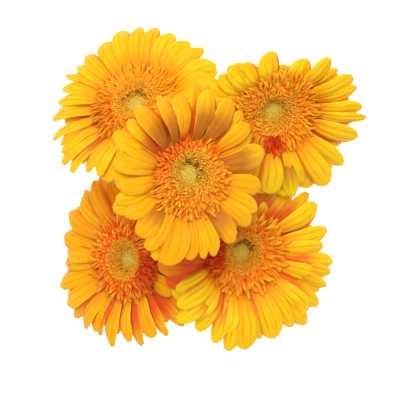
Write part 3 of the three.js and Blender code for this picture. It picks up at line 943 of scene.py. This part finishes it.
# Orange over the inner half and red at the root: partly the rays' own colour, partly painted shade
# towards the disc.
yellow = petal.mixed(along.step(0.25, 0.7), PETAL_SHOULDER, petal.mixed(tone, *PETAL_YELLOWS))
petal.colour(
    petal.mixed(along.step(0.24, 0.42), PETAL_ROOT, yellow),
    (veins.step(0.35, 0.7) * 0.45, PETAL_VEIN),
    (line * 0.42, PETAL_GROOVE_SHADE),
    (blotches.step(0.45, 0.75) * 0.22, PETAL_PATCH),
    (rim * across.step(0.4, 0.6) * 0.85, PETAL_RIM_HIGHLIGHT),
    (tuck_shade, PETAL_TUCK_SHADE),
    (shaded_root * (1 - rim) * 0.85, PETAL_ROOT_SHADE),
    (flush * inward, PETAL_SHADE_RED),
    (under * 0.85, PETAL_UNDERSIDE),
)
petal.bump(veins, 0.0002)

for name, flower in FLOWERS.items():
    for side, rays in planned_rays(flower).items():
        mesh = whorl(f"{name}_petals_{side}", flower, rays, petal.material)
        settle(f"{name}_petals_{side}", mesh, f"{name}_rays_{side}")


# ---- the short florets -----------------------------------------
# The frill between rays and disc: hundreds of narrow, curled, orange straps, short at the disc
# and longer outwards. They grow in the same spiral as the disc's florets.

GOLDEN_ANGLE = pi * (3 - 5**0.5)
FRILL_INNER = 0.0122
FRILL_OUTER = 0.0205
FRILL_INNER_LEVEL = 0.0052
FRILL_USUAL_REACH = 0.024
FRILL_GRID = (9, 3, 2)
STRAP_LENGTH = 0.0036
STRAP_LENGTHENING = 0.0042  # how much longer a strap is by the rays than by the disc
STRAP_THICKNESS = 0.00026
STRAP_ROOT = (0.95, 0.045, 0.004)
STRAP_BODY = (1, 0.25, 0.01)
# painted highlight on the straps' tips and edges
STRAP_TIP_HIGHLIGHT = (1, 0.55, 0.04)
STRAP_FLECK = (0.95, 0.14, 0.006)
STRAP_PALE = (1, 0.47, 0.012)
# painted shadow on the straps under the rays above
STRAP_SHADE_RED = (0.7, 0.035, 0.006)


def head_bearing(flower, bearing):
    """The bearing in the head's frame of what is seen from above at a bearing."""
    across, up, _ = head_axes(flower)
    way = (cos(radians(bearing)), sin(radians(bearing)))
    x, y = np.linalg.solve([[across.x, up.x], [across.y, up.y]], way)
    return np.arctan2(y, x)


def ray_root_slope(flower):
    """How steeply the rays leave the disc."""
    height = ray_tip_level(flower, RAY_USUAL_LENGTH, 0, 0) + flower["arch"] - RAY_ROOT_LEVEL
    return RAY_SPRING * height / (RAY_CREST * RAY_USUAL_LENGTH)


frill = Finish(
    "short_floret_skin", Roughness=0.5, Specular_IOR_Level=0.1, Subsurface_Weight=0.2,
    Subsurface_Radius=(1, 0.3, 0.05), Subsurface_Scale=0.0006,
)
along, tone, side = frill.stored("along"), frill.stored("tone"), frill.stored("side")
# Painted highlight: the straps' tips are paler by a random amount, and their edges paler towards the
# tips.
lit = along.step(0.5, 0.85) * (0.3 + tone * 0.7)
edge = side.maths("ABSOLUTE").step(0.2, 0.5) * along.step(0.45, 0.8) * 0.6
flecks = frill.noise(frill.object_place(), 1400, 2)
frill.colour(
    # deep red at the root: partly the straps' own colour, partly painted shade between them
    frill.mixed(along.step(0.15, 0.75), STRAP_ROOT, STRAP_BODY),
    (lit.maths("MAXIMUM", edge), STRAP_TIP_HIGHLIGHT),
    (flecks.step(0.4, 0.7) * 0.25, STRAP_FLECK),
    (frill.stored("pale") * along.step(0.1, 0.5), STRAP_PALE),
    # painted shadow from the rays above
    (frill.stored("flush") * (1 - edge * 0.5), STRAP_SHADE_RED),
)
frill.bump(flecks, 0.0001)

tree, _, sizes = new_tree(
    "short_florets",
    (
        "Inner radius", "Outer radius", "Outer level", "Slope", "Reach", "Width", "Thickness",
        "Red bearing", "Red spread", "Redness", "Paleness",
    ),
    ("Count", "Seed"),
)
spots, index = spots_in(tree, sizes["Count"])
share, seed = index / sizes["Count"], sizes["Seed"]
# Painted shadow: straps facing the red bearing are flushed deep red, where the rays above shade them.
facing = (index * GOLDEN_ANGLE - sizes["Red bearing"]).maths("COSINE")
steep = chance(tree, 0.8, 1.4, seed + 2) * (1 - share)
spots = keep(
    tree, spots,
    share=share,
    bearing=index * GOLDEN_ANGLE + chance(tree, -0.05, 0.05, seed),
    tone=chance(tree, 0, 1, seed + 1),
    flush=facing.step(sizes["Red spread"], 1) * sizes["Redness"],
    pale=sizes["Paleness"],
    rise=steep + (sizes["Slope"] + chance(tree, -0.1, 0.8, seed + 7)) * share,
    curl=chance(tree, 1.3, 3.8, seed + 3) * (1 - share * 0.45),
    sway=chance(tree, -0.4, 0.4, seed + 4),
    twist=chance(tree, -0.9, 0.9, seed + 5),
    stretch=chance(tree, 0.75, 1.2, seed + 6),
)
bodies, x, side, layer = copies_on(tree, spots, strap(tree, FRILL_GRID))
along = x + 0.5
bodies = keep(tree, bodies, along=along, side=side)
share = kept(tree, "share")
usual_length = (STRAP_LENGTH + share * STRAP_LENGTHENING) * kept(tree, "stretch")
length = usual_length * sizes["Reach"] / FRILL_USUAL_REACH
first, curl = kept(tree, "rise"), kept(tree, "curl")
slope = first - curl * along
run = (first.maths("SINE") - slope.maths("SINE")) / curl * length
rise = (slope.maths("COSINE") - first.maths("COSINE")) / curl * length
twist = kept(tree, "twist") * along
breadth = sizes["Width"] * (0.6 + along * 0.8 - along**3 * 0.7) * side
channel = side * side * sizes["Width"] * 0.8 * along.step(0.1, 0.5)
depth = sizes["Thickness"] * layer + channel
wide = breadth * twist.maths("COSINE") - depth * twist.maths("SINE")
deep = breadth * twist.maths("SINE") + depth * twist.maths("COSINE")
across = wide + kept(tree, "sway") * length * along * along
root = sizes["Inner radius"] * (1 - share) + sizes["Outer radius"] * share
root_level = FRILL_INNER_LEVEL * (1 - share) + sizes["Outer level"] * share
radius = root + run - slope.maths("SINE") * deep
level = root_level + rise + slope.maths("COSINE") * deep
set_round(tree, bodies, radius, across, level, frill.material)

for name, flower in FLOWERS.items():
    bearing, spread, redness = flower["red"]
    strap_count, strap_width = flower["straps"]
    slope = ray_root_slope(flower)
    frill_sizes = {
        "Red bearing": head_bearing(flower, bearing), "Red spread": cos(radians(spread)),
        "Redness": redness, "Paleness": flower["pale"], "Reach": flower["ring"],
        "Inner radius": FRILL_INNER, "Outer radius": FRILL_OUTER, "Slope": np.arctan(slope),
        "Outer level": RAY_ROOT_LEVEL + slope * (FRILL_OUTER - RAY_ROOT_RADIUS) * 0.9,
        "Width": strap_width, "Thickness": STRAP_THICKNESS, "Count": strap_count,
        "Seed": flower["seed"] * 20,
    }
    mesh = grown(f"{name}_frill", tree, frill_sizes)
    mesh.transform(head_place(flower))
    settle(f"{name}_frill", mesh, f"{name}_trans_florets")


# ---- the disc florets ------------------------------------------
# The flower's middle: a fleshy disc packed in spirals with tiny florets, open and golden round
# the outside, and still closed, olive buds in the sunken eye, with dark ones between. Painted
# shade darkens one side of that dark ring, and the foot of each floret.

DISC_LINE = (
    (0, -0.0056), (0.0094, -0.0056), (0.0094, -0.0012), (0.0118, -0.001), (0.0142, 0.0006),
    (0.0148, 0.003), (0.0141, 0.0042), (0.0125, 0.005), (0.0108, 0.0046), (0.0088, 0.0034),
    (0.0068, 0.0016), (0.005, 0.0006), (0.0025, 0.0006), (0, 0.0007),
)
DISC_SIDES = 56
# Each kind: inner and outer radius of its zone, spacing, size, height, and how far its lobes open.
FLORET_KINDS = (
    (0, 0.0058, 0.00038, 0.00038, 0.0007, 0),  # buds
    (0.0058, 0.0142, 0.00052, 0.0005, 0.0014, 0.4),  # open florets
)
FLORET_SIDES = 10
FLORET_ROWS = 4
BOWL_FLOOR = 0.0005
BOWL_RISE = (0.0046, 0.0042, 0.0125)  # height, and the radii that it is climbed between
BOWL_FALL = (0.0016, 0.0125, 0.0145)  # depth, and the radii that it is lost between
EYE_COLOURS = (0.72, 0.45, 0.025), (0.95, 0.66, 0.085)
HEART_COLOUR = (0.92, 0.8, 0.22)
GOLDEN_COLOURS = (0.74, 0.36, 0.02), (0.96, 0.56, 0.045)
ORANGE_COLOUR = (1, 0.42, 0.025)
DISC_RIM_COLOUR = (1, 0.44, 0.03)
# painted shade at the foot of each floret; the disc under them takes these colours too
DEEP_COLOURS = (0.5, 0.36, 0.04), (0.75, 0.17, 0.01)
# dark florets, with painted shade on one side of their ring
DARK_AND_SHADE_COLOUR = (0.22, 0.08, 0.015)

bud = Finish(
    "disc_skin", Roughness=0.6, Specular_IOR_Level=0.1, Subsurface_Weight=0.2,
    Subsurface_Radius=(1, 0.5, 0.1), Subsurface_Scale=0.0006,
)
out, tone = bud.stored("out"), bud.stored("tone")
along, dusk = bud.stored("along"), bud.stored("dusk")
golden = bud.mixed(bud.stored("orange"), bud.mixed(tone, *GOLDEN_COLOURS), ORANGE_COLOUR)
heart = bud.mixed(out.step(0.0055, 0.001) * 0.5, bud.mixed(tone, *EYE_COLOURS), HEART_COLOUR)
kind = bud.mixed(out.step(0.005, 0.0066), heart, golden)
kind = bud.mixed(out.step(0.0085, 0.0135) * 0.75, kind, DISC_RIM_COLOUR)
# Painted shade: each floret takes the deep colours at its foot, where the florets crowd, and its own
# at its top; the disc under them is in the deep colours.
deep = bud.mixed(out.step(0.0045, 0.0095), *DEEP_COLOURS)
bud.colour(deep, (along.step(0.15, 0.8), kind), (dusk * 0.9, DARK_AND_SHADE_COLOUR))
bud.bump(bud.noise(bud.object_place(), 2600, 1), 0.00008)

tree, _, sizes = new_tree(
    "disc_florets",
    ("Inner radius", "Spacing", "Size", "Height", "Lobes", "Dark bearing", "Dark share", "Orange"),
    ("Count", "Seed"),
)
spots, index = spots_in(tree, sizes["Count"])
inner, spacing, seed = sizes["Inner radius"], sizes["Spacing"], sizes["Seed"]
spiral = (inner * inner + spacing * spacing * (index + 0.5)).maths("SQRT")
bearing = index * GOLDEN_ANGLE
# Dark florets in a ring round the eye, many more on the side that the dark bearing faces: that side is
# painted shade.
facing = (bearing - sizes["Dark bearing"]).maths("COSINE").step(-0.1, 0.75)
ringed = spiral.step(0.0047, 0.0055) * (1 - spiral.step(0.0074, 0.009))
dark = facing * ringed * sizes["Dark share"] * 0.55 + ringed * 0.1
spots = keep(
    tree, spots,
    out=spiral + chance(tree, -0.0001, 0.0001, seed),
    bearing=bearing,
    tone=chance(tree, 0, 1, seed + 1),
    stretch=chance(tree, 0.8, 1.25, seed + 2),
    dusk=(dark - chance(tree, 0, 1, seed + 3)).step(-0.1, 0.3),
    lean=chance(tree, -0.35, 0.35, seed + 4),
    orange=sizes["Orange"],
)
cuts = {"Vertices": FLORET_SIDES, "Side Segments": FLORET_ROWS, "Radius": 1, "Depth": 1}
bodies, x, y, z = copies_on(tree, spots, add(tree, "GeometryNodeMeshCylinder", cuts))
along = z + 0.5
bodies = keep(tree, bodies, along=along)
lobes = 1 + (y.maths("ARCTAN2", x) * 5).maths("COSINE") * sizes["Lobes"] * along * along
belly = 0.55 + along * 0.9 - along**3 * (1.25 - sizes["Lobes"] * 1.2)
girth = sizes["Size"] * kept(tree, "stretch") * belly * lobes
tall = sizes["Height"] * kept(tree, "stretch") * along
spiral, lean = kept(tree, "out"), kept(tree, "lean")
outward = x * girth + tall * (lean + spiral.step(0.009, 0.0145) * 0.7)
climb, *climbed = BOWL_RISE
fall, *lost = BOWL_FALL
bowl = BOWL_FLOOR + climb * spiral.step(*climbed) - fall * spiral.step(*lost)
set_round(tree, bodies, spiral + outward, y * girth + tall * lean, bowl + tall, bud.material)

points, faces = lathe(DISC_LINE, DISC_SIDES)
for name, flower in FLOWERS.items():
    meshes = [plain_mesh(f"{name}_base", points, faces, bud.material)]
    store = meshes[0].attributes.new("out", "FLOAT", "POINT")
    store.data.foreach_set("value", [hypot(p[0], p[1]) for p in points])
    bearing, strength = flower["dark"]
    for order, (inner, outer, spacing, size, height, lobes) in enumerate(FLORET_KINDS):
        disc_sizes = {
            "Inner radius": inner, "Spacing": spacing, "Size": size, "Height": height,
            "Lobes": lobes, "Dark bearing": head_bearing(flower, bearing), "Dark share": strength,
            "Orange": flower["orange"], "Seed": flower["seed"] * 30 + order,
            "Count": (outer**2 - inner**2) / spacing**2,
        }
        meshes.append(grown(f"{name}_kind", tree, disc_sizes))
    mesh = joined(f"{name}_disc_florets", meshes)
    mesh.transform(head_place(flower))
    settle(f"{name}_disc_florets", mesh, f"{name}_disc")
